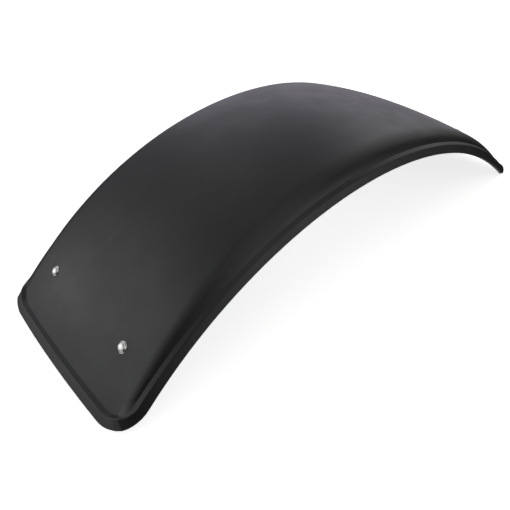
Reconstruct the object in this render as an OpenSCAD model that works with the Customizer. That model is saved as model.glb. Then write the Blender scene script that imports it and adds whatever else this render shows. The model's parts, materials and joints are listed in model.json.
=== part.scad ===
// Moulded mudguard for a small cargo wheel: one shell, arched along its length and across it, with a
// raised rim band running all round, and a dome-head bolt with washer and lock nut near each corner.
// X points forward, Y to the left and Z up. The origin is under the middle of the arch, on the
// surface that the two ends stand on. Sizes are in millimetres and angles in degrees.

/* [Arch] */
// Radius of the side walls' lower edge, measured from the wheel's axle
rim_r = 290; // [240:5:380]
// Angle that the guard covers round the wheel
arc_angle = 91; // [60:0.5:100]

/* [Cross section] */
// Width across the rim bands in the middle of the arch
guard_w = 166; // [140:0.5:200]
// Height of the crown above the rim step in the middle of the arch
crown_mid = 19.5; // [14:0.25:26]
// Height of the crown above the rim step at the two ends
crown_end = 6; // [4:0.25:8]
// Shoulder radius in the middle of the arch
shoulder_mid_r = 15.5; // [10:0.5:19]
// Shoulder radius at the two ends
shoulder_end_r = 5.75; // [4:0.25:8]
// Lean of the side walls away from upright in the middle of the arch
draft_mid = 10; // [3:0.5:15]
// Lean of the side walls at the two ends, where they open out
draft_end = 33; // [15:1:50]
// Thickness of the moulded wall
wall = 2.5; // [2:0.1:2.8]

/* [Rim band] */
// Width of the raised band inside the outline
band_w = 6.6; // [5:0.2:9]
// Height of the band above the surface inside it
band_step = 2.6; // [2:0.1:4.6]
// Width of the sloping ledge that leads from the band down to the surface inside it
ledge_w = 2.1; // [0.5:0.1:4]
// Rounding on the band's two outer edges
edge_r = 0.5; // [0.3:0.1:1.2]
// Corner radius of the outline at the rear end
rear_corner_r = 25; // [15:0.5:32]
// Corner radius of the outline at the front end
front_corner_r = 8; // [6:0.5:32]

/* [Fasteners] */
// Spacing of the bolts across the guard
bolt_pitch = 98.5; // [80:0.5:105]
// Angle from the rear end of the arch to its pair of bolts
rear_inset_angle = 8.5; // [7:0.1:14]
// Angle from the front end of the arch to its pair of bolts
front_inset_angle = 12; // [7:0.1:14]
// Thread diameter of the bolts
bolt_d = 4; // [3:1:5]
// Length of a bolt under its head
bolt_len = 16; // [14:1:25]
// Diameter of a dome head
head_d = 7.8; // [7:0.2:10]
// Height of a dome head
head_h = 2.2; // [1.8:0.1:3]

/* [Hidden] */
$fn = 48;

// The shell's facets: cells along the arch, across the flat of the crown and round each corner
cells_long = 48;
cells_flat = 12;
cells_corner = 12;
cells_edge = 2;
min_corner_r = 0.3;
cells_wide = cells_flat + 2 * cells_corner;

// The outline laid flat, with its two halves each way; the band's wall drops below the step
half_angle = arc_angle / 2;
lean_power = 5;
swell_power = 2.15;
swell_ease = 1.5;
step_r = rim_r + band_w * cos(draft_mid);
half_long = step_r * half_angle * PI / 180;
half_step_w = guard_w / 2 - band_w * sin(draft_mid) - band_step * cos(draft_mid);
half_flat_w = section_half(half_angle) + band_w;

// Fastener sizes: square neck, plain washer and lock nut with its nylon insert
seat_depth = 0.15;
seat_margin = 0.5;
neck_side = bolt_d;
neck_len = 2;
neck_gap = 0.1;
thread_chamfer = 0.5;
head_rim = 0.4;
grip_d = 0.885 * bolt_d;
grip_gap = 0.2;
running_gap = 0.1;
washer_d = 2.25 * bolt_d;
washer_t = 0.8;
nut_af = 1.75 * bolt_d;
nut_hex_h = 0.75 * bolt_d;
nut_h = 1.25 * bolt_d;
collar_d = 1.55 * bolt_d;
collar_lip = 0.5;
insert_d = 1.3 * bolt_d;
insert_h = 1.4;
under_shell = wall - seat_depth;

// Share of the full crown that the arch has at an angle from its middle: a shallow curve along it
function swell(angle) = pow(max(0, 1 - pow(abs(angle) / half_angle, swell_power)), swell_ease);
function crown_h(angle) = crown_end + (crown_mid - crown_end) * swell(angle);
function shoulder_r(angle) = shoulder_end_r + (shoulder_mid_r - shoulder_end_r) * swell(angle);
function lean(angle) = draft_mid + (draft_end - draft_mid) * pow(abs(angle) / half_angle, lean_power);

// Half section at one angle: a wide crown arc, a shoulder arc tangent to it, then the drafted wall
function shoulder_y(angle) = half_step_w - shoulder_r(angle) * cos(lean(angle));
function shoulder_z(angle) = -shoulder_r(angle) * sin(lean(angle));
function crown_r(angle) =
    let (y = shoulder_y(angle), r = shoulder_r(angle), drop = crown_h(angle) - shoulder_z(angle))
    (y * y + drop * drop - r * r) / (2 * (drop - r));
function join_angle(angle) = asin(shoulder_y(angle) / (crown_r(angle) - shoulder_r(angle)));
function crown_half(angle) = crown_r(angle) * join_angle(angle) * PI / 180;
function shoulder_len(angle) = shoulder_r(angle) * (90 - lean(angle) - join_angle(angle)) * PI / 180;
function section_half(angle) = crown_half(angle) + shoulder_len(angle);

// Point [y, z above the step] of a half section, s along its skin and h out from its skin
function on_crown(angle, s, h) =
    let (r = crown_r(angle), turn = s / r * 180 / PI)
    [(r + h) * sin(turn), crown_h(angle) - r + (r + h) * cos(turn)];
function on_shoulder(angle, s, h) =
    let (
        r = shoulder_r(angle),
        turn = join_angle(angle) + (s - crown_half(angle)) / r * 180 / PI
    )
    [shoulder_y(angle) + (r + h) * sin(turn), shoulder_z(angle) + (r + h) * cos(turn)];
function on_wall(angle, s, h) =
    let (out = lean(angle))
    [half_step_w + s * sin(out) + h * cos(out), h * sin(out) - s * cos(out)];
function on_half_section(angle, s, h) =
    s <= crown_half(angle) ? on_crown(angle, s, h)
    : s <= section_half(angle) ? on_shoulder(angle, s, h)
    : on_wall(angle, s - section_half(angle), h);

// Point of the shell where the flat outline's point [along, across] lies, h out from the skin
function wrap(along, across, h) =
    let (
        angle = along / step_r * 180 / PI,
        flat_s = abs(across),
        flat_step = section_half(half_angle),
        s = flat_s <= flat_step
            ? flat_s / flat_step * section_half(angle)
            : section_half(angle) + flat_s - flat_step,
        p = on_half_section(angle, s, h),
        r = step_r + p[1]
    )
    [r * sin(angle), sign(across) * p[0], r * cos(angle)];

// One grid over the outline inset by a distance: i runs along the arch and j across it.
// The end rows carry the corner arcs, and the rows between them share out the arcs' set-back.
function corner_r(w, inset) =
    max(min_corner_r, (w < 0 ? rear_corner_r : front_corner_r) - inset);
function corner_span(w, inset) =
    let (middle = shoulder_len(0))
    corner_r(w, inset) * w * w + middle * (1 - w * w);
function flat_point(i, j, inset) =
    let (
        w = 2 * i / cells_long - 1,
        side = j - cells_wide / 2,
        a = abs(side),
        turn = 90 * max(0, a - cells_flat / 2) / cells_corner,
        span = corner_span(w, inset),
        flat = half_flat_w - inset - span,
        across = flat * min(1, a / (cells_flat / 2)) + span * sin(turn),
        set_back = corner_r(w, inset) * (1 - cos(turn)),
        along = w * (half_long - inset - set_back)
    )
    [along, sign(side) * across];
function grid_point(i, j, inset, h) =
    let (p = flat_point(i, j, inset))
    wrap(p[0], p[1], h);

// Grid places round the outline, anticlockwise seen from above
outline_places = [
    for (i = [0 : cells_long - 1]) [i, 0],
    for (j = [0 : cells_wide - 1]) [cells_long, j],
    for (i = [cells_long : -1 : 1]) [i, cells_wide],
    for (j = [cells_wide : -1 : 1]) [0, j]
];
outline_count = len(outline_places);

// The band's cut as [inset from the outline, height above the skin], from the ledge over both
// rounded edges and under the band to the inner ledge, which follows the outer one a wall inside it
function round_off(p, corner, q, t) = pow(1 - t, 2) * p + 2 * t * (1 - t) * corner + t * t * q;
ledge_len = norm([ledge_w, band_step]);
inner_inset = band_w - wall * (ledge_len - ledge_w) / band_step;
ledge_top = [band_w, band_step];
ledge_end = ledge_top + edge_r * [ledge_w, -band_step] / ledge_len;
rim_top = [0, band_step];
band_rings = [
    for (k = [0 : cells_edge])
        round_off(ledge_end, ledge_top, ledge_top - [edge_r, 0], k / cells_edge),
    for (k = [0 : cells_edge])
        round_off(rim_top + [edge_r, 0], rim_top, rim_top - [0, edge_r], k / cells_edge),
    [0, band_step - wall],
    [inner_inset, band_step - wall]
];

outer_points = [
    for (i = [0 : cells_long]) for (j = [0 : cells_wide]) grid_point(i, j, band_w + ledge_w, 0)
];
inner_points = [
    for (i = [0 : cells_long]) for (j = [0 : cells_wide]) grid_point(i, j, inner_inset + ledge_w, -wall)
];
band_points = [
    for (ring = band_rings) for (place = outline_places)
        grid_point(place[0], place[1], ring[0], ring[1])
];
grid_count = len(outer_points);
shell_points = concat(outer_points, inner_points, band_points);

// Indices of the shell's points: the two grids, and the loops from the outer grid to the inner one
function grid_index(i, j) = i * (cells_wide + 1) + j;
function loop_index(loop, k) =
    let (place = outline_places[k % outline_count])
    loop == 0 ? grid_index(place[0], place[1])
    : loop > len(band_rings) ? grid_count + grid_index(place[0], place[1])
    : 2 * grid_count + (loop - 1) * outline_count + k % outline_count;

function outer_cell(a, b, c, d) = [[a, c, b], [a, d, c]];
function inner_cell(a, b, c, d) = [[a + grid_count, b + grid_count, c + grid_count],
    [a + grid_count, c + grid_count, d + grid_count]];
grid_faces = [
    for (i = [0 : cells_long - 1]) for (j = [0 : cells_wide - 1])
        let (
            a = grid_index(i, j),
            b = grid_index(i + 1, j),
            c = grid_index(i + 1, j + 1),
            d = grid_index(i, j + 1)
        )
        for (face = concat(outer_cell(a, b, c, d), inner_cell(a, b, c, d))) face
];
band_faces = [
    for (loop = [0 : len(band_rings)]) for (k = [0 : outline_count - 1])
        let (
            a = loop_index(loop, k),
            b = loop_index(loop, k + 1),
            c = loop_index(loop + 1, k + 1),
            d = loop_index(loop + 1, k)
        )
        for (face = [[a, b, c], [a, c, d]]) face
];

// Height of the axle above the surface that the shell's lowest points stand on
axle_drop = min([for (p = shell_points) p[2]]);

// Where a left-hand bolt goes through the skin, and the skin's outward direction there: end is -1
// at the rear and 1 at the front
slope_step = 0.5;
function bolt_angle(end) = end * (half_angle - (end < 0 ? rear_inset_angle : front_inset_angle));
function bolt_along(end) = bolt_angle(end) * PI / 180 * step_r;
function bolt_across(end) =
    let (angle = bolt_angle(end), r = crown_r(angle))
    asin(bolt_pitch / 2 / r) * PI / 180 * r * section_half(half_angle) / section_half(angle);
function bolt_point(end) = wrap(bolt_along(end), bolt_across(end), 0);
function bolt_normal(end) =
    let (
        along = wrap(bolt_along(end) + slope_step, bolt_across(end), 0) - bolt_point(end),
        across = wrap(bolt_along(end), bolt_across(end) + slope_step, 0) - bolt_point(end),
        out = cross(along, across)
    )
    out / norm(out);

// Puts a fastener's piece, drawn round +Z with the skin at z = 0, at one corner of the shell
module at_bolt(end, side) {
    place = bolt_point(end);
    out = bolt_normal(end);
    translate([place[0], side * place[1], place[2] - axle_drop])
        rotate([0, atan2(out[0], out[2]), 0])
            rotate([-side * asin(out[1]), 0, 0])
                children();
}

// Square hole for a bolt's neck with a flat seat outside for the head and inside for the washer
module bolt_cut() {
    hole = neck_side + 2 * neck_gap;
    translate([-hole / 2, -hole / 2, -2 * wall])
        cube([hole, hole, 3 * wall]);
    translate([0, 0, -seat_depth])
        cylinder(d = head_d + 2 * seat_margin, h = wall);
    translate([0, 0, -under_shell - wall])
        cylinder(d = washer_d + 2 * seat_margin, h = wall);
}

module shell() {
    color([0.09, 0.09, 0.1])
        difference() {
            translate([0, 0, -axle_drop])
                polyhedron(points = shell_points, faces = concat(grid_faces, band_faces));
            for (end = [-1, 1]) {
                for (side = [-1, 1]) {
                    at_bolt(end, side)
                        bolt_cut();
                }
            }
        }
}

// Dome-head bolt: a shallow cap of a sphere on a thin rim, and a square neck that keeps it from
// turning. The shank has the thread's pitch diameter inside the nut and its full diameter below it.
module bolt(end, side) {
    rise = head_h - head_rim;
    cap_r = (head_d * head_d / 4 + rise * rise) / (2 * rise);
    cap_angle = asin(head_d / 2 / cap_r);
    cap = [
        for (k = [0 : 8])
            let (turn = cap_angle * k / 8)
            [cap_r * sin(turn), head_h - cap_r * (1 - cos(turn))]
    ];
    free_top = -(under_shell - seat_depth + washer_t + nut_h + grip_gap);
    shank = [
        [0, 0],
        [grip_d / 2, 0],
        [grip_d / 2, free_top],
        [bolt_d / 2, free_top],
        [bolt_d / 2, thread_chamfer - bolt_len],
        [bolt_d / 2 - thread_chamfer, -bolt_len],
        [0, -bolt_len]
    ];
    color([0.78, 0.78, 0.8])
        at_bolt(end, side)
            translate([0, 0, -seat_depth]) {
                rotate_extrude()
                    polygon(concat([[0, 0], [head_d / 2, 0]], [for (k = [8 : -1 : 0]) cap[k]]));
                translate([-neck_side / 2, -neck_side / 2, -neck_len])
                    cube([neck_side, neck_side, neck_len]);
                rotate_extrude()
                    polygon(shank);
            }
}

module washer(end, side) {
    color([0.7, 0.7, 0.72])
        at_bolt(end, side)
            translate([0, 0, -under_shell - washer_t])
                difference() {
                    cylinder(d = washer_d, h = washer_t);
                    translate([0, 0, -1])
                        cylinder(d = bolt_d + 3 * running_gap, h = washer_t + 2);
                }
}

// Lock nut: a hexagon with bevelled corners under a round collar that is rolled in over the insert
module nut(end, side) {
    bevel_d = 1.06 * nut_af;
    bevel_h = 0.5;
    color([0.72, 0.72, 0.74])
        at_bolt(end, side)
            translate([0, 0, -under_shell - washer_t])
                mirror([0, 0, 1])
                    difference() {
                        union() {
                            intersection() {
                                cylinder(d = nut_af / cos(30), h = nut_hex_h, $fn = 6);
                                rotate_extrude()
                                    polygon([
                                        [0, 0],
                                        [bevel_d / 2, 0],
                                        [bevel_d / 2 + bevel_h, bevel_h],
                                        [bevel_d / 2 + bevel_h, nut_hex_h - bevel_h],
                                        [bevel_d / 2, nut_hex_h],
                                        [0, nut_hex_h]
                                    ]);
                            }
                            rotate_extrude()
                                polygon([
                                    [0, nut_hex_h - 1],
                                    [collar_d / 2, nut_hex_h - 1],
                                    [collar_d / 2, nut_h - collar_lip],
                                    [collar_d / 2 - collar_lip, nut_h],
                                    [0, nut_h]
                                ]);
                        }
                        translate([0, 0, -1])
                            cylinder(d = grip_d + running_gap, h = nut_h + 2);
                        translate([0, 0, nut_h - collar_lip - insert_h])
                            cylinder(d = insert_d, h = insert_h);
                    }
}

// Nylon ring held inside the nut's collar
module insert(end, side) {
    color([0.9, 0.9, 0.88])
        at_bolt(end, side)
            translate([0, 0, -under_shell - washer_t - nut_h + collar_lip])
                difference() {
                    cylinder(d = insert_d, h = insert_h);
                    translate([0, 0, -1])
                        cylinder(d = grip_d + running_gap / 2, h = insert_h + 2);
                }
}

shell();
bolt(-1, -1);  // bolt_rear_right
washer(-1, -1);  // washer_rear_right
nut(-1, -1);  // nut_rear_right
insert(-1, -1);  // insert_rear_right
bolt(-1, 1);  // bolt_rear_left
washer(-1, 1);  // washer_rear_left
nut(-1, 1);  // nut_rear_left
insert(-1, 1);  // insert_rear_left
bolt(1, -1);  // bolt_front_right
washer(1, -1);  // washer_front_right
nut(1, -1);  // nut_front_right
insert(1, -1);  // insert_front_right
bolt(1, 1);  // bolt_front_left
washer(1, 1);  // washer_front_left
nut(1, 1);  // nut_front_left
insert(1, 1);  // insert_front_left
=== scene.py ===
import json
import math

import bmesh
import bpy
from mathutils import Matrix, Vector


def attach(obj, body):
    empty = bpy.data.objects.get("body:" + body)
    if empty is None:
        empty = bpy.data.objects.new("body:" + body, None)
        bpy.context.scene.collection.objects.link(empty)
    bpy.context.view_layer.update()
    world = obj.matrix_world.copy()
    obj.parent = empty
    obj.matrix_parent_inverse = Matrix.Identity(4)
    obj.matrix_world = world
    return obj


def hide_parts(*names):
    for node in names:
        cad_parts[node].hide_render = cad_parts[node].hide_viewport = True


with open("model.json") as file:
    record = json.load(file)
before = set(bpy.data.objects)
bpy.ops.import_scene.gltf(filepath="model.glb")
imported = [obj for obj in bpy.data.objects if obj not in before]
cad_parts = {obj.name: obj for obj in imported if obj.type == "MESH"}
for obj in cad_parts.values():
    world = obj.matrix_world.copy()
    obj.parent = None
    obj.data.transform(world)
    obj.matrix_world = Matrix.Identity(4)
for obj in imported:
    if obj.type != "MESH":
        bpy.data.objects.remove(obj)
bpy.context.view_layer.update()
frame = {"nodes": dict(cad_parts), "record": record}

# The photograph's view: the camera's place in metres, its aim and its lens
CAMERA_PLACE = (-0.24289, -0.27031, 0.27766)
CAMERA_AIM = (0.46442, 0.60999, -0.64204)
CAMERA_UP = (0.4568, 0.45609, 0.76375)
SENSOR = 36.0
LENS = 36.621

# The dim surroundings: their lowest radiance, and lobes with a direction, a reach in degrees and
# the radiance at their middle
WORLD_BASE = (0.0, 0.0, 0.0)
WORLD_LOBES = (
    ((0.7, 0.7, 0.0), 40, (0.575, 0.55, 0.621)),
    ((0.87, 0.05, 0.45), 35, (0.896, 0.889, 0.907)),
    ((0.6, 0.6, 0.5), 40, (0.358, 0.359, 0.396)),
    ((0.1, 1.0, 0.0), 40, (0.033, 0.031, 0.042)),
    ((-0.65, 0.72, 0.3), 35, (0.571, 0.592, 0.537)),
    ((-0.7, 0.45, 0.55), 32, (0.789, 0.783, 0.814)),
    ((0.0, 0.4, 0.92), 35, (0.204, 0.205, 0.171)),
    ((0.05, -0.35, 0.94), 38, (0.579, 0.574, 0.569)),
    ((0.4, -0.87, 0.0), 30, (0.803, 0.793, 0.796)),
    ((0.15, -0.85, 0.5), 32, (0.65, 0.647, 0.634)),
    ((0.44, -0.81, -0.39), 30, (0.502, 0.505, 0.503)),
    ((-0.74, 0.67, 0.03), 32, (0.083, 0.083, 0.099)),
    ((0.0, 0.75, 0.6), 40, (0.35, 0.35, 0.368)),
    ((0.8, -0.58, 0.05), 32, (0.045, 0.046, 0.047)),
    ((-0.77, -0.1, 0.6), 32, (0.474, 0.482, 0.438)),
    ((-0.25, -0.9, -0.2), 35, (0.049, 0.049, 0.046)),
    ((-0.75, -0.15, -0.5), 40, (0.36, 0.36, 0.355)),
    ((-1.0, 0.1, 0.0), 42, (0.28, 0.28, 0.28)),
    ((0.0, 0.0, -1.0), 65, (0.4, 0.4, 0.4)),
)

# The one long scratch on the crown: its two ends, the skin's direction there and half its width
SCRATCH = ((-0.1676, 0.0235, 0.0499), (-0.1338, 0.0124, 0.0731))
SCRATCH_NORMAL = (-0.573, 0.027, 0.819)
SCRATCH_HALF = 0.00012

# Light that the pale floor gives off, so that it stays near white under the dim surroundings,
# half its side in metres, and the round backdrop's radius
FLOOR_GLOW = 0.85
FLOOR_HALF = 3.0
BACKDROP_RADIUS = 4.5

# Softboxes: name, place, aim, size in metres and radiance
SOFTBOXES = (
    ("left_softbox", (-0.9, 1.02, 0.28), (-0.2, 0.0, 0.03), (0.34, 0.34), 0.8),
)

# Corners of the guard in the order that the bolts' node names give them
CORNERS = ("rear_right", "rear_left", "front_right", "front_left")

# Shading: edges sharper than these angles in degrees stay sharp, and points nearer than the
# distance in metres are one point
SHELL_SHARP_ANGLE = 40
BOLT_SHARP_ANGLE = 35
MERGE_DISTANCE = 0.000001

# Bolt details in metres: the head's rim and dome, the thread, the square neck, the tip's chamfer,
# the core's distance from the head and how far the thread's foot reaches into the core
HEAD_RIM = 0.00035
HEAD_EDGE = 0.0001
DOME_SHARE = 0.93
THREAD_PITCH = 0.0007
THREAD_DEPTH = 0.00038
THREAD_FLAT = 0.00009
THREAD_STEPS = 40
LATHE_STEPS = 72
DOME_STEPS = 18
NECK_LENGTH = 0.002
TIP_LENGTH = 0.0004
TIP_TAPER = 0.0002
CORE_GAP = 0.0001
THREAD_SINK = 0.00005


def link(obj):
    bpy.context.scene.collection.objects.link(obj)
    return obj


def mesh_object(name, mesh):
    return link(bpy.data.objects.new(name, mesh))


# Materials


class Shader:
    """A material's node tree with short calls for adding and joining nodes."""

    def __init__(self, name):
        self.material = bpy.data.materials.new(name)
        self.material.use_nodes = True
        self.tree = self.material.node_tree
        self.surface = self.tree.nodes["Principled BSDF"]
        self.place = self.add("ShaderNodeTexCoord").outputs["Object"]

    def add(self, kind, **settings):
        node = self.tree.nodes.new(kind)
        for key, value in settings.items():
            setattr(node, key, value)
        return node

    def join(self, source, target):
        self.tree.links.new(source, target)

    def fill(self, node, **values):
        for key, value in values.items():
            socket = node.inputs[key.replace("_", " ")]
            if isinstance(value, bpy.types.NodeSocket):
                self.join(value, socket)
            else:
                socket.default_value = value
        return node

    def noise(self, scale, detail=4.0, stretch=None, roughness=0.55):
        place = self.place
        if stretch:
            mapping = self.add("ShaderNodeMapping")
            self.fill(mapping, Vector=self.place, Scale=stretch)
            place = mapping.outputs["Vector"]
        node = self.add("ShaderNodeTexNoise")
        self.fill(node, Vector=place, Scale=scale, Detail=detail, Roughness=roughness)
        return node.outputs["Fac"]

    def spread(self, value, low, high, out_low=0.0, out_high=1.0):
        node = self.add("ShaderNodeMapRange", interpolation_type="SMOOTHSTEP")
        values = {"Value": value, "From Min": low, "From Max": high}
        values.update({"To Min": out_low, "To Max": out_high})
        for key, entry in values.items():
            if isinstance(entry, bpy.types.NodeSocket):
                self.join(entry, node.inputs[key])
            else:
                node.inputs[key].default_value = entry
        return node.outputs["Result"]

    def maths(self, operation, *values):
        node = self.add("ShaderNodeMath", operation=operation)
        for socket, value in zip(node.inputs, values):
            if isinstance(value, bpy.types.NodeSocket):
                self.join(value, socket)
            else:
                socket.default_value = value
        return node.outputs[0]

    def mix(self, factor, first, second):
        node = self.add("ShaderNodeMix", data_type="RGBA")
        sockets = (node.inputs[0], node.inputs[6], node.inputs[7])
        for socket, value in zip(sockets, (factor, first, second)):
            if isinstance(value, bpy.types.NodeSocket):
                self.join(value, socket)
            else:
                socket.default_value = value
        return node.outputs[2]

    def bump(self, height, distance, strength, under=None):
        node = self.add("ShaderNodeBump")
        self.fill(node, Height=height, Distance=distance, Strength=strength)
        if under:
            self.join(under, node.inputs["Normal"])
        return node.outputs["Normal"]

    def finish(self, colour, roughness, normal, metallic=0.0, specular=0.5):
        self.join(colour, self.surface.inputs["Base Color"])
        self.join(roughness, self.surface.inputs["Roughness"])
        self.join(normal, self.surface.inputs["Normal"])
        self.surface.inputs["Metallic"].default_value = metallic
        self.surface.inputs["Specular IOR Level"].default_value = specular
        return self.material


def hairlines(shader, scale, stretch, low, high):
    """Thin broken lines, from a noise that is drawn out one way and cut to a narrow band."""
    value = shader.noise(scale, 2.0, stretch)
    ridge = shader.maths("ABSOLUTE", shader.maths("SUBTRACT", value, 0.5))
    line = shader.spread(ridge, 0.0, low, 1.0, 0.0)
    patch = shader.spread(shader.noise(14.0, 2.0), 0.5, high)
    return shader.maths("MULTIPLY", line, patch)


def long_scratch(shader):
    """One faint scratch along the crown: a thin straight band that fades in and out."""
    start, end = Vector(SCRATCH[0]), Vector(SCRATCH[1])
    along = (end - start).normalized()
    across = along.cross(Vector(SCRATCH_NORMAL)).normalized()
    values = []
    for direction in (along, across):
        dot = shader.add("ShaderNodeVectorMath", operation="DOT_PRODUCT")
        shader.join(shader.place, dot.inputs[0])
        dot.inputs[1].default_value = direction
        values.append(shader.maths("SUBTRACT", dot.outputs["Value"], start.dot(direction)))
    length = (end - start).length
    side = shader.maths("ABSOLUTE", values[1])
    line = shader.spread(side, SCRATCH_HALF, SCRATCH_HALF * 2, 1.0, 0.0)
    head = shader.spread(values[0], 0.0, length * 0.25)
    tail = shader.spread(values[0], length * 0.7, length, 1.0, 0.0)
    broken = shader.spread(shader.noise(260.0, 2.0), 0.35, 0.6, 0.35, 1.0)
    line = shader.maths("MULTIPLY", line, shader.maths("MULTIPLY", head, tail))
    return shader.maths("MULTIPLY", line, broken)


def edge_wear_and_highlight(shader):
    """Where the surface is most convex: the rounded edges of the rim band and of the holes, lightened
    as wear and as a painted highlight.
    """
    point = shader.add("ShaderNodeNewGeometry").outputs["Pointiness"]
    return shader.spread(point, 0.53, 0.6)


def moulded_black():
    shader = Shader("moulded_black")
    tone = shader.spread(shader.noise(11.0, 3.0), 0.3, 0.7)
    colour = shader.mix(tone, (0.0125, 0.0125, 0.0135, 1), (0.0165, 0.0165, 0.018, 1))
    dust = shader.spread(shader.noise(55.0, 6.0), 0.55, 0.85, 0.0, 0.25)
    colour = shader.mix(dust, colour, (0.035, 0.034, 0.034, 1))
    # Convex edges, the rim band's edges above all, lightened to pale grey: partly rubbed wear, partly a
    # painted highlight along the rim
    wear_and_highlight = edge_wear_and_highlight(shader)
    colour = shader.mix(shader.maths("MULTIPLY", wear_and_highlight, 0.5), colour, (0.055, 0.055, 0.058, 1))
    lines = hairlines(shader, 60.0, (1.0, 6.0, 1.0), 0.006, 0.62)
    colour = shader.mix(shader.maths("MULTIPLY", lines, 0.35), colour, (0.08, 0.08, 0.085, 1))
    scratch = long_scratch(shader)
    colour = shader.mix(shader.maths("MULTIPLY", scratch, 0.7), colour, (0.11, 0.11, 0.11, 1))
    rough = shader.spread(shader.noise(35.0, 5.0), 0.25, 0.75, 0.35, 0.44)
    rough = shader.maths("ADD", rough, shader.maths("MULTIPLY", lines, 0.08))
    normal = shader.bump(shader.noise(28.0, 2.0), 0.0004, 0.12)
    normal = shader.bump(shader.noise(1500.0, 3.0), 0.00004, 0.35, normal)
    normal = shader.bump(lines, 0.00003, 0.3, normal)
    return shader.finish(colour, rough, normal)


def polished_steel():
    shader = Shader("polished_steel")
    tone = shader.spread(shader.noise(700.0, 4.0), 0.3, 0.7)
    colour = shader.mix(tone, (0.8, 0.81, 0.8, 1), (0.88, 0.89, 0.87, 1))
    lines = hairlines(shader, 900.0, (1.0, 5.0, 1.0), 0.012, 0.55)
    colour = shader.mix(shader.maths("MULTIPLY", lines, 0.3), colour, (0.5, 0.5, 0.5, 1))
    rough = shader.spread(shader.noise(900.0, 4.0), 0.3, 0.75, 0.24, 0.34)
    normal = shader.bump(shader.noise(1200.0, 3.0), 0.00001, 0.2)
    return shader.finish(colour, rough, normal, metallic=1.0)


def plain_steel(name, low, high):
    shader = Shader(name)
    tone = shader.spread(shader.noise(420.0, 5.0), 0.3, 0.7)
    colour = shader.mix(tone, low, high)
    wear_and_highlight = edge_wear_and_highlight(shader)
    colour = shader.mix(shader.maths("MULTIPLY", wear_and_highlight, 0.5), colour, (0.8, 0.8, 0.8, 1))
    rough = shader.spread(shader.noise(1100.0, 5.0), 0.3, 0.7, 0.28, 0.42)
    normal = shader.bump(shader.noise(2500.0, 4.0), 0.00002, 0.3)
    return shader.finish(colour, rough, normal, metallic=1.0)


def nylon():
    shader = Shader("nylon")
    tone = shader.spread(shader.noise(600.0, 3.0), 0.3, 0.7)
    colour = shader.mix(tone, (0.74, 0.73, 0.68, 1), (0.82, 0.81, 0.77, 1))
    rough = shader.spread(shader.noise(900.0, 3.0), 0.3, 0.7, 0.42, 0.55)
    normal = shader.bump(shader.noise(1800.0, 3.0), 0.00002, 0.3)
    shader.surface.inputs["Subsurface Weight"].default_value = 0.1
    shader.surface.inputs["Subsurface Radius"].default_value = (0.001, 0.001, 0.0008)
    return shader.finish(colour, rough, normal)


def pale_floor():
    shader = Shader("pale_floor")
    tone = shader.spread(shader.noise(3.0, 3.0), 0.3, 0.7)
    colour = shader.mix(tone, (0.9, 0.9, 0.9, 1), (0.93, 0.93, 0.93, 1))
    rough = shader.spread(shader.noise(40.0, 3.0), 0.3, 0.7, 0.7, 0.85)
    normal = shader.bump(shader.noise(300.0, 3.0), 0.00005, 0.1)
    shader.join(colour, shader.surface.inputs["Emission Color"])
    shader.surface.inputs["Emission Strength"].default_value = FLOOR_GLOW
    return shader.finish(colour, rough, normal, specular=0.2)


# Bolts


class BoltPlace:
    """A bolt's axis and levels, measured on its node in the frame."""

    def __init__(self, corner):
        stud = next(m for m in frame["record"]["mounts"] if m["name"] == "stud_" + corner)
        self.up = -Vector(stud["axis"]).normalized()
        middle = Vector(stud["pos_m"])
        points = [v.co - middle for v in frame["nodes"]["bolt_" + corner].data.vertices]
        heights = [p.dot(self.up) for p in points]
        spans = [(p - self.up * h).length for p, h in zip(points, heights)]
        head_r = max(spans)
        seat = min(h for h, r in zip(heights, spans) if r > 0.98 * head_r)
        self.head_r = head_r
        self.head_h = max(heights) - seat
        self.length = seat - min(heights)
        self.shank_r = stud["dims"]["r_mm"] / 1000
        self.origin = middle + self.up * seat

    def matrix(self):
        across = Vector((0, 1, 0))
        along = across.cross(self.up).normalized()
        across = self.up.cross(along)
        turn = Matrix((along, across, self.up)).transposed().to_4x4()
        return Matrix.Translation(self.origin) @ turn


def lathe(bm, profile, steps):
    """A closed solid turned round Z from (radius, height) points that start and end on the axis."""
    rings = []
    for radius, height in profile:
        if radius == 0:
            rings.append([bm.verts.new((0, 0, height))] * steps)
            continue
        ring = []
        for k in range(steps):
            angle = math.tau * k / steps
            ring.append(bm.verts.new((radius * math.cos(angle), radius * math.sin(angle), height)))
        rings.append(ring)
    for low, high in zip(rings, rings[1:]):
        for k in range(steps):
            corners = [low[k], low[(k + 1) % steps], high[(k + 1) % steps], high[k]]
            bm.faces.new(list(dict.fromkeys(corners)))


def thread(bm, root_r, crest_r, top, bottom):
    """A helical ridge round a core, tapered away at both ends."""
    turns = (top - bottom) / THREAD_PITCH
    count = int(turns * THREAD_STEPS)
    half = THREAD_PITCH / 2 - THREAD_FLAT / 2
    rings = []
    for k in range(count + 1):
        angle = math.tau * k / THREAD_STEPS
        height = top - THREAD_PITCH * k / THREAD_STEPS
        ends = min(1.0, k / THREAD_STEPS, (count - k) / THREAD_STEPS)
        crest = root_r + (crest_r - root_r) * max(ends, 0.02)
        ring = []
        foot = root_r - THREAD_SINK
        flat = THREAD_FLAT / 2
        for radius, offset in ((foot, half), (crest, flat), (crest, -flat), (foot, -half)):
            point = (radius * math.cos(angle), radius * math.sin(angle), height + offset)
            ring.append(bm.verts.new(point))
        rings.append(ring)
    for low, high in zip(rings, rings[1:]):
        for j in range(4):
            bm.faces.new((low[j], high[j], high[(j + 1) % 4], low[(j + 1) % 4]))
    bm.faces.new(rings[0])
    bm.faces.new(list(reversed(rings[-1])))


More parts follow.
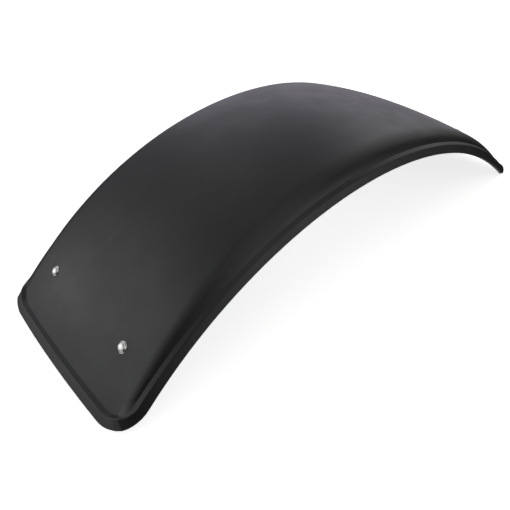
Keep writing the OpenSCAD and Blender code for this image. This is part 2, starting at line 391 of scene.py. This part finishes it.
def dome_profile(head_r, head_h):
    """Half outline of the head: a flat underside, a short rim and a low dome, steep at its foot."""
    points = [(0, 0), (head_r - HEAD_EDGE, 0), (head_r, HEAD_EDGE), (head_r, HEAD_RIM - HEAD_EDGE),
              (head_r - HEAD_EDGE, HEAD_RIM)]
    dome_r = head_r * DOME_SHARE
    for k in range(DOME_STEPS):
        angle = math.pi / 2 * k / DOME_STEPS
        points.append((dome_r * math.cos(angle), HEAD_RIM + (head_h - HEAD_RIM) * math.sin(angle)))
    points.append((0, head_h))
    return points


def add_bolt(corner, steel):
    place = BoltPlace(corner)
    bm = bmesh.new()
    lathe(bm, dome_profile(place.head_r, place.head_h), LATHE_STEPS)
    root_r = place.shank_r - THREAD_DEPTH
    end = TIP_LENGTH - place.length
    core = [(0, -place.length), (root_r - TIP_TAPER, -place.length), (root_r, end),
            (root_r, -CORE_GAP), (0, -CORE_GAP)]
    lathe(bm, core, LATHE_STEPS)
    thread(bm, root_r, place.shank_r, -NECK_LENGTH - THREAD_PITCH / 2, end)
    neck = bmesh.ops.create_cube(bm, size=1.0)["verts"]
    side = 2 * place.shank_r
    bmesh.ops.scale(bm, vec=(side, side, NECK_LENGTH), verts=neck)
    bmesh.ops.translate(bm, vec=(0, 0, -NECK_LENGTH / 2), verts=neck)
    bmesh.ops.recalc_face_normals(bm, faces=bm.faces[:])
    mesh = bpy.data.meshes.new("bolt_look_" + corner)
    bm.to_mesh(mesh)
    bm.free()
    mesh.transform(place.matrix())
    mesh.polygons.foreach_set("use_smooth", [True] * len(mesh.polygons))
    mesh.set_sharp_from_angle(angle=math.radians(BOLT_SHARP_ANGLE))
    mesh.materials.append(steel)
    bolt = mesh_object("bolt_look_" + corner, mesh)
    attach(bolt, "root")
    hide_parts("bolt_" + corner)


# Stage


def add_floor(material):
    """The pale floor, which takes shadows but gives the part no light and no reflection."""
    mesh = bpy.data.meshes.new("floor")
    corners = [(x * FLOOR_HALF, y * FLOOR_HALF, 0) for x, y in ((-1, -1), (1, -1), (1, 1), (-1, 1))]
    mesh.from_pydata(corners, [], [(0, 1, 2, 3)])
    mesh.materials.append(material)
    floor = mesh_object("floor", mesh)
    floor.visible_glossy = False
    floor.visible_diffuse = False


def add_backdrop(material):
    """A pale surround for low views. Only the camera sees it, so it doesn't light or shade the part."""
    bm = bmesh.new()
    bmesh.ops.create_uvsphere(bm, u_segments=64, v_segments=32, radius=BACKDROP_RADIUS)
    mesh = bpy.data.meshes.new("backdrop")
    bm.to_mesh(mesh)
    bm.free()
    mesh.materials.append(material)
    backdrop = mesh_object("backdrop", mesh)
    backdrop.visible_glossy = False
    backdrop.visible_diffuse = False
    backdrop.visible_shadow = False


def add_softbox(name, place, aim, size, radiance):
    data = bpy.data.lights.new(name, "AREA")
    data.shape = "RECTANGLE"
    data.size, data.size_y = size
    data.energy = radiance * math.pi * size[0] * size[1]
    light = link(bpy.data.objects.new(name, data))
    light.location = place
    light.rotation_euler = (Vector(aim) - Vector(place)).to_track_quat("-Z", "Y").to_euler()


def add_camera():
    data = bpy.data.cameras.new("camera")
    data.sensor_width = SENSOR
    data.lens = LENS
    data.clip_start = 0.01
    camera = link(bpy.data.objects.new("camera", data))
    back = -Vector(CAMERA_AIM).normalized()
    right = Vector(CAMERA_UP).cross(back).normalized()
    up = back.cross(right)
    turn = Matrix((right, up, back)).transposed().to_4x4()
    camera.matrix_world = Matrix.Translation(CAMERA_PLACE) @ turn
    bpy.context.scene.camera = camera


def set_world():
    """A dim studio: each lobe adds light from one side, falling off smoothly round it."""
    world = bpy.data.worlds.new("studio")
    world.use_nodes = True
    tree = world.node_tree
    place = tree.nodes.new("ShaderNodeTexCoord").outputs["Generated"]
    total = None
    for toward, reach, radiance in WORLD_LOBES:
        facing = tree.nodes.new("ShaderNodeVectorMath")
        facing.operation = "DOT_PRODUCT"
        facing.inputs[1].default_value = Vector(toward).normalized()
        share = tree.nodes.new("ShaderNodeMapRange")
        share.interpolation_type = "SMOOTHERSTEP"
        share.inputs["From Min"].default_value = math.cos(math.radians(reach))
        light = tree.nodes.new("ShaderNodeVectorMath")
        light.operation = "MULTIPLY_ADD"
        light.inputs[1].default_value = radiance
        light.inputs[2].default_value = WORLD_BASE
        tree.links.new(place, facing.inputs[0])
        tree.links.new(facing.outputs["Value"], share.inputs["Value"])
        tree.links.new(share.outputs["Result"], light.inputs[0])
        if total:
            tree.links.new(total, light.inputs[2])
        total = light.outputs["Vector"]
    tree.links.new(total, tree.nodes["Background"].inputs["Color"])
    bpy.context.scene.world = world
    bpy.context.scene.view_settings.view_transform = "Standard"


def even_shading(node, angle):
    """Shades a faceted CAD mesh as the smooth surface it stands for.

    Edges sharper than the angle, in degrees, stay sharp. The node's own mesh isn't changed.
    """
    group = bpy.data.node_groups.new("even_shading", "GeometryNodeTree")
    group.interface.new_socket("Geometry", in_out="INPUT", socket_type="NodeSocketGeometry")
    group.interface.new_socket("Geometry", in_out="OUTPUT", socket_type="NodeSocketGeometry")
    source = group.nodes.new("NodeGroupInput")
    merge = group.nodes.new("GeometryNodeMergeByDistance")
    merge.inputs["Distance"].default_value = MERGE_DISTANCE
    between = group.nodes.new("GeometryNodeInputMeshEdgeAngle")
    sharp = group.nodes.new("FunctionNodeCompare")
    sharp.operation = "GREATER_THAN"
    sharp.inputs[1].default_value = math.radians(angle)
    normals = group.nodes.new("GeometryNodeSetMeshNormal")
    normals.mode = "SHARPNESS"
    normals.inputs["Remove Custom"].default_value = True
    normals.inputs["Face Sharpness"].default_value = False
    result = group.nodes.new("NodeGroupOutput")
    group.links.new(source.outputs[0], merge.inputs["Geometry"])
    group.links.new(merge.outputs["Geometry"], normals.inputs["Mesh"])
    group.links.new(between.outputs["Unsigned Angle"], sharp.inputs[0])
    group.links.new(sharp.outputs["Result"], normals.inputs["Edge Sharpness"])
    group.links.new(normals.outputs["Mesh"], result.inputs[0])
    obj = frame["nodes"][node]
    obj.modifiers.new("even_shading", "NODES").node_group = group
    weigh = obj.modifiers.new("weigh_normals", "WEIGHTED_NORMAL")
    weigh.keep_sharp = True


def dress(node, material):
    obj = frame["nodes"][node]
    obj.data.materials.clear()
    obj.data.materials.append(material)


add_camera()
set_world()
for softbox in SOFTBOXES:
    add_softbox(*softbox)
floor_material = pale_floor()
add_floor(floor_material)
add_backdrop(floor_material)

dress("shell", moulded_black())
even_shading("shell", SHELL_SHARP_ANGLE)
bolt_steel = polished_steel()
washer_steel = plain_steel("washer_steel", (0.5, 0.5, 0.51, 1), (0.62, 0.62, 0.62, 1))
nut_steel = plain_steel("nut_steel", (0.46, 0.47, 0.5, 1), (0.6, 0.6, 0.62, 1))
insert_nylon = nylon()
for corner in CORNERS:
    add_bolt(corner, bolt_steel)
    dress("washer_" + corner, washer_steel)
    dress("nut_" + corner, nut_steel)
    dress("insert_" + corner, insert_nylon)
